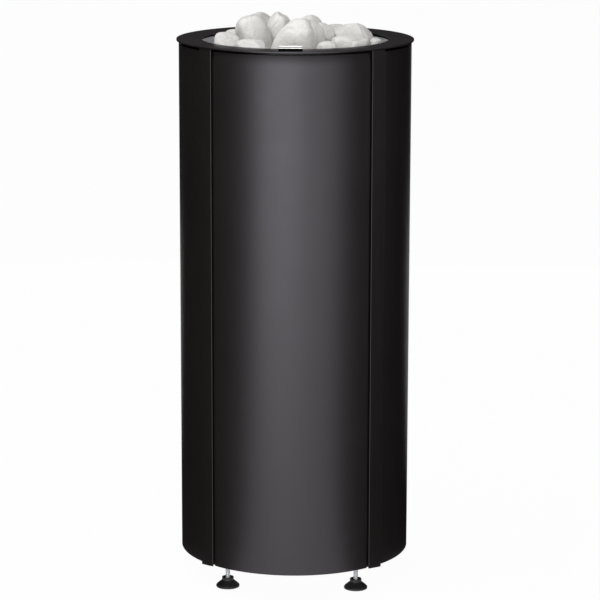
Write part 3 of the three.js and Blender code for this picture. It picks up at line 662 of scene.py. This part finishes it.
# Faces seen in the photograph on the larger stones, as a direction and the share of the reach that is left
FACETS = {
    "stone_centre": [
        ((0.62, -0.25, 0.75), 0.84),
        ((-0.75, -0.3, 0.6), 0.86),
        ((-0.3, -0.95, 0.1), 0.9),
        ((0.8, -0.55, 0.1), 0.82),
    ],
    "stone_left_tall": [
        ((0.0, -1.0, 0.15), 0.86),
        ((0.75, -0.2, 0.6), 0.82),
        ((-0.9, -0.2, -0.4), 0.84),
        ((0.8, -0.6, 0.1), 0.8),
    ],
    "stone_mid_left": [((0.55, -0.1, 0.8), 0.84), ((-0.1, -0.95, 0.3), 0.84), ((-0.75, -0.2, 0.6), 0.84)],
    "stone_back_left": [((0.6, -0.2, 0.75), 0.84), ((-0.6, -0.3, 0.75), 0.86)],
    "stone_mid_right": [((-0.6, -0.3, 0.75), 0.84), ((0.6, -0.4, 0.7), 0.82)],
    "stone_right_inner": [((-0.5, -0.7, 0.5), 0.82), ((0.5, -0.5, 0.7), 0.82)],
    "stone_right_big": [((0.7, -0.3, 0.65), 0.84), ((-0.55, -0.35, 0.75), 0.82), ((0.1, -0.85, 0.5), 0.84)],
    "stone_front_right": [((0.35, -0.3, 0.9), 0.82), ((-0.7, -0.4, 0.6), 0.84), ((0.0, -1.0, 0.2), 0.88)],
    "stone_left_low": [((0.45, -0.3, 0.85), 0.82), ((-0.6, -0.5, 0.6), 0.86), ((-1.0, 0.0, 0.1), 0.8)],
}
SEEDED_FACETS = 7
SEEDED_SHARE = 0.86
SEEDED_SPREAD = 0.07
BLUNTNESS = 2.9
FLATTEST_SLOPE = 0.05


def stone_facets(name, seed):
    """Given faces of a stone and seeded ones for the rest."""
    faces = [(Vector(direction).normalized(), share) for direction, share in FACETS.get(name, [])]
    for k in range(SEEDED_FACETS):
        spot = Vector((seed * 7.31 + k * 2.77, seed * 4.19 - k * 1.93, seed * 1.37 + k * 3.11))
        share = SEEDED_SHARE + SEEDED_SPREAD * math.sin(seed * 5.1 + k * 2.3)
        faces.append((noise.noise_vector(spot).normalized(), share))
    return faces


def blunt_reach(size, direction):
    """How far a rounded block of half sizes reaches in a direction."""
    total = sum(abs(direction[axis] / size[axis]) ** BLUNTNESS for axis in range(3))
    return total ** (-1 / BLUNTNESS)


def plan_cuts(points):
    """Upright planes round the plan outline of some points, as (normal, distance)."""
    order = geometry.convex_hull_2d([point.xy for point in points])
    cuts = []
    for i, j in zip(order, order[1:] + order[:1]):
        along = (points[j] - points[i]).xy
        normal = Vector((along.y, -along.x, 0.0)).normalized()
        cuts.append((normal, normal.dot(points[i])))
    return cuts


FIXED = ("stone_bed", "stone_grate", "stone_container")
loose = sorted(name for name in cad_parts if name.startswith("stone_") and name not in FIXED)
for number, name in enumerate(loose):
    low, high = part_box(name)
    middle = (low + high) / 2
    size = (high - low) / 2
    corners = [vert.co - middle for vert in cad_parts[name].data.vertices]
    cuts = plan_cuts(corners)
    for direction, share in stone_facets(name, number + 1.0):
        cuts.append((direction, share * max(direction.dot(corner) for corner in corners)))

    def faceted(direction, size=size, cuts=cuts):
        reach = blunt_reach(size, direction)
        for normal, distance in cuts:
            slope = normal.dot(direction)
            if slope > FLATTEST_SLOPE:
                reach = min(reach, distance / slope)
        return reach

    stone = stone_mesh(low, high, faceted, number + 1.0)
    piece(name, stone, STONE, name, [name], STONE_SHARP)

# Filling: a core below and rounded stones on it that show between the loose ones
BED_SPACING = 0.045
BED_REACH = 0.133
BED_SHIFT = 0.007
BED_STONE = 0.026
FIRST_BED_SHAPE = 20
BED_STONE_TOP = 0.929
BED_STONE_BOTTOM = 0.872
RIM_STONES = 26
RIM_STONE = 0.0175
RIM_STONE_TOP = 0.924
RIM_STONE_PLACE = 0.138
CORE_RADIUS = 0.1642
CORE_BOTTOM = 0.2513
CORE_TOP = 0.902
CORE_SEGMENTS = 96
BED_SIZE_SPREAD = 0.003
BED_TOP_SPREAD = 0.005
RIM_PLACE_SPREAD = 0.003
core_profile = [(0.0, CORE_BOTTOM), (CORE_RADIUS, CORE_BOTTOM), (CORE_RADIUS, CORE_TOP), (0.0, CORE_TOP)]
fill = lathe(core_profile, CORE_SEGMENTS, closed=False)
row_height = BED_SPACING * math.sqrt(3) / 2
rows = math.ceil(BED_REACH / row_height)
spots = []
for row in range(-rows, rows + 1):
    for column in range(-rows, rows + 1):
        x = (column + (0.0 if row % 2 == 0 else 0.5)) * BED_SPACING
        y = row * row_height
        if math.hypot(x, y) <= BED_REACH:
            spots.append((x, y, BED_STONE, BED_STONE_TOP))
for k in range(RIM_STONES):
    spot = around(360 * k / RIM_STONES, RIM_STONE_PLACE + RIM_PLACE_SPREAD * math.sin(2.6 * k))
    spots.append((spot.x, spot.y, RIM_STONE, RIM_STONE_TOP))
for number, (x, y, half_size, top) in enumerate(spots):
    shape = FIRST_BED_SHAPE + number
    x += BED_SHIFT * math.sin(3.7 * shape)
    y += BED_SHIFT * math.sin(5.3 * shape + 1.0)
    wide = half_size + BED_SIZE_SPREAD * math.sin(1.3 * shape)
    deep = half_size + BED_SIZE_SPREAD * math.cos(1.7 * shape)
    top += BED_TOP_SPREAD * math.sin(2.1 * shape)
    low = Vector((x - wide, y - deep, BED_STONE_BOTTOM))
    high = Vector((x + wide, y + deep, top))
    size = (high - low) / 2

    def egg(direction, size=size):
        return blunt_reach(size, direction)

    stone = stone_mesh(low, high, egg, shape, 3, 1)
    made = bpy.data.meshes.new("bed_stone")
    stone.to_mesh(made)
    stone.free()
    fill.from_mesh(made)
    bpy.data.meshes.remove(made)
piece("stone_bed", fill, STONE, "heater", ["stone_bed"], TURNED_SHARP)

# Solids that stay as they are and get a finished surface
NUTS = [f"element_nut_{row}_{side}" for row in ("front", "middle", "rear") for side in ("left", "right")]
KEPT = {
    PAINT: ["base_frame"],
    CONTAINER_STEEL: ["stone_grate", "ledge_ring"],
    ELEMENT_STEEL: ["element_front", "element_middle", "element_rear"],
    PLATED: ["element_plate", "junction_box", "box_cover", *NUTS],
    ZINC: ["cover_screw_left", "cover_screw_right"],
    PALE_PLASTIC: ["terminal_block", "limiter_body"],
    BLACK_PLASTIC: ["cable_gland"],
    RED_PLASTIC: ["reset_button"],
    COPPER: ["limiter_sensor"],
}
for material, nodes in KEPT.items():
    for node in nodes:
        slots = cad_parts[node].data.materials
        slots.clear()
        slots.append(material)


# Stage: floor, background, drape and lamps
def light_path_share(tree, others):
    """1 for camera rays and the other kinds named, 0 for the rays that light the object."""
    path = tree.nodes.new("ShaderNodeLightPath")
    share = path.outputs["Is Camera Ray"]
    for name in others:
        both = tree.nodes.new("ShaderNodeMath")
        both.operation = "MAXIMUM"
        tree.links.new(share, both.inputs[0])
        tree.links.new(path.outputs[name], both.inputs[1])
        share = both.outputs[0]
    return share


FLOOR_SIZE = 60.0
FLOOR_LEVEL = -0.0003
FLOOR_COLOUR = (0.86, 0.86, 0.86, 1.0)
FLOOR_GLOW_SHARE = 0.97
AMBIENT_STRENGTH = 0.38
SEEN_BY = ["Is Glossy Ray", "Is Transmission Ray"]
floor_mesh = bpy.data.meshes.new("floor")
half = FLOOR_SIZE / 2
floor_outline = ((-half, -half), (half, -half), (half, half), (-half, half))
floor_corners = [(x, y, FLOOR_LEVEL) for x, y in floor_outline]
floor_mesh.from_pydata(floor_corners, [], [(0, 1, 2, 3)])
floor = bpy.data.objects.new("floor", floor_mesh)
scene.collection.objects.link(floor)
floor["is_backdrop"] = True
floor_material = bpy.data.materials.new("pale_floor")
floor_material.use_nodes = True
floor_tree = floor_material.node_tree
floor_tree.nodes.remove(floor_tree.nodes["Principled BSDF"])
diffuse = floor_tree.nodes.new("ShaderNodeBsdfDiffuse")
diffuse.inputs["Color"].default_value = FLOOR_COLOUR
glow = floor_tree.nodes.new("ShaderNodeEmission")
share = floor_tree.nodes.new("ShaderNodeMath")
share.operation = "MULTIPLY"
share.inputs[1].default_value = FLOOR_GLOW_SHARE
seen = light_path_share(floor_tree, SEEN_BY)
floor_tree.links.new(seen, share.inputs[0])
blend = floor_tree.nodes.new("ShaderNodeMixShader")
floor_tree.links.new(share.outputs[0], blend.inputs["Fac"])
floor_tree.links.new(diffuse.outputs[0], blend.inputs[1])
floor_tree.links.new(glow.outputs[0], blend.inputs[2])
floor_tree.links.new(blend.outputs[0], floor_tree.nodes["Material Output"].inputs["Surface"])
floor_mesh.materials.append(floor_material)

world = bpy.data.worlds.new("studio")
scene.world = world
world.use_nodes = True
sky = world.node_tree
ambient = sky.nodes["Background"]
ambient.inputs["Color"].default_value = (1.0, 1.0, 1.0, 1.0)
ambient.inputs["Strength"].default_value = AMBIENT_STRENGTH
white = sky.nodes.new("ShaderNodeBackground")
white.inputs["Color"].default_value = (1.0, 1.0, 1.0, 1.0)
white.inputs["Strength"].default_value = 1.0
sky_blend = sky.nodes.new("ShaderNodeMixShader")
seen = light_path_share(sky, SEEN_BY)
sky.links.new(seen, sky_blend.inputs["Fac"])
sky.links.new(ambient.outputs[0], sky_blend.inputs[1])
sky.links.new(white.outputs[0], sky_blend.inputs[2])
sky.links.new(sky_blend.outputs[0], sky.nodes["World Output"].inputs["Surface"])

# Black studio drape all round, which only reflections see. Its floor is open in front and behind.
DRAPE_RADIUS = 3.4
DRAPE_HEIGHT = 4.6
DRAPE_FLOOR_HOLE = 0.25
DRAPE_FRONT = 40
DRAPE_REAR = 30
DRAPE_SLOT = 87
DRAPE_SLOT_HALF = 2.5
DRAPE_LIFT = 0.003
DRAPE_SIDES = 72
drape_bm = bmesh.new()
drape_rings = []
drape_profile = [(DRAPE_FLOOR_HOLE, DRAPE_LIFT), (DRAPE_RADIUS, DRAPE_LIFT), (DRAPE_RADIUS, DRAPE_HEIGHT)]
for radius, height in drape_profile:
    corners = [around(360 * k / DRAPE_SIDES, radius, height) for k in range(DRAPE_SIDES)]
    drape_rings.append([drape_bm.verts.new(corner) for corner in corners])
for level, (lower, upper) in enumerate(zip(drape_rings, drape_rings[1:])):
    for k in range(DRAPE_SIDES):
        nxt = (k + 1) % DRAPE_SIDES
        angle = 360 * (k + 0.5) / DRAPE_SIDES
        if level == 0 and (min(angle, 360 - angle) < DRAPE_FRONT or abs(angle - 180) < DRAPE_REAR):
            continue
        if level == 1 and abs(angle - DRAPE_SLOT) < DRAPE_SLOT_HALF:
            continue
        drape_bm.faces.new((lower[k], lower[nxt], upper[nxt], upper[k]))
drape_mesh = bpy.data.meshes.new("drape")
drape_bm.to_mesh(drape_mesh)
drape_bm.free()
drape = bpy.data.objects.new("drape", drape_mesh)
scene.collection.objects.link(drape)
drape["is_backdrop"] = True
cloth = bpy.data.materials.new("black_drape")
cloth.use_nodes = True
cloth_surface = cloth.node_tree.nodes["Principled BSDF"]
cloth_surface.inputs["Base Color"].default_value = (0.02, 0.02, 0.02, 1.0)
cloth_surface.inputs["Specular IOR Level"].default_value = 0.0
drape_mesh.materials.append(cloth)
drape.visible_camera = False
drape.visible_diffuse = False
drape.visible_transmission = False
drape.visible_shadow = False


def lamp(name, angle, distance, height, width, tall, power, aim):
    """Soft rectangular lamp at an angle and distance from the axis, turned to a point."""
    data = bpy.data.lights.new(name, "AREA")
    data.shape = "RECTANGLE"
    data.size = width
    data.size_y = tall
    data.energy = power
    made = bpy.data.objects.new(name, data)
    made.location = around(angle, distance, height)
    made.rotation_euler = (Vector(aim) - made.location).to_track_quat("-Z", "Y").to_euler()
    made.visible_camera = False
    scene.collection.objects.link(made)


# Name, angle, distance, height, width, tall side, power and the point it is turned to
lamp("key", -14, 2.8, 0.76, 1.95, 1.52, 36.5, (0, 0, 0.5))
lamp("fill", 24, 2.8, 0.76, 2.3, 1.52, 21, (0, 0, 0.5))
lamp("top", -62, 1.1, 2.9, 1.5, 1.5, 29, (0, 0, 0.9))
lamp("rear", 178, 2.8, 0.45, 1.7, 0.8, 4, (0, 0, 0.45))

# Camera, fitted to the photograph's outline
CAMERA_AZIMUTH = 2.3
CAMERA_DISTANCE = 4.6
CAMERA_HEIGHT = 1.4712
CAMERA_PITCH = 12.036
CAMERA_ROLL = 0.136
CAMERA_AIM = 0.115
FOCAL_PIXELS = 2684.8
IMAGE_PIXELS = 600
SENSOR_WIDTH = 36.0
camera_data = bpy.data.cameras.new("camera")
camera_data.sensor_width = SENSOR_WIDTH
camera_data.lens = FOCAL_PIXELS / IMAGE_PIXELS * SENSOR_WIDTH
camera = bpy.data.objects.new("camera", camera_data)
camera.location = around(CAMERA_AZIMUTH, CAMERA_DISTANCE, CAMERA_HEIGHT)
turn = Matrix.Rotation(math.radians(CAMERA_AZIMUTH - CAMERA_AIM), 4, "Z")
tilt = Matrix.Rotation(math.radians(90 - CAMERA_PITCH), 4, "X")
roll = Matrix.Rotation(math.radians(CAMERA_ROLL), 4, "Z")
camera.rotation_euler = (turn @ tilt @ roll).to_euler()
scene.collection.objects.link(camera)
scene.camera = camera

low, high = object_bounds()
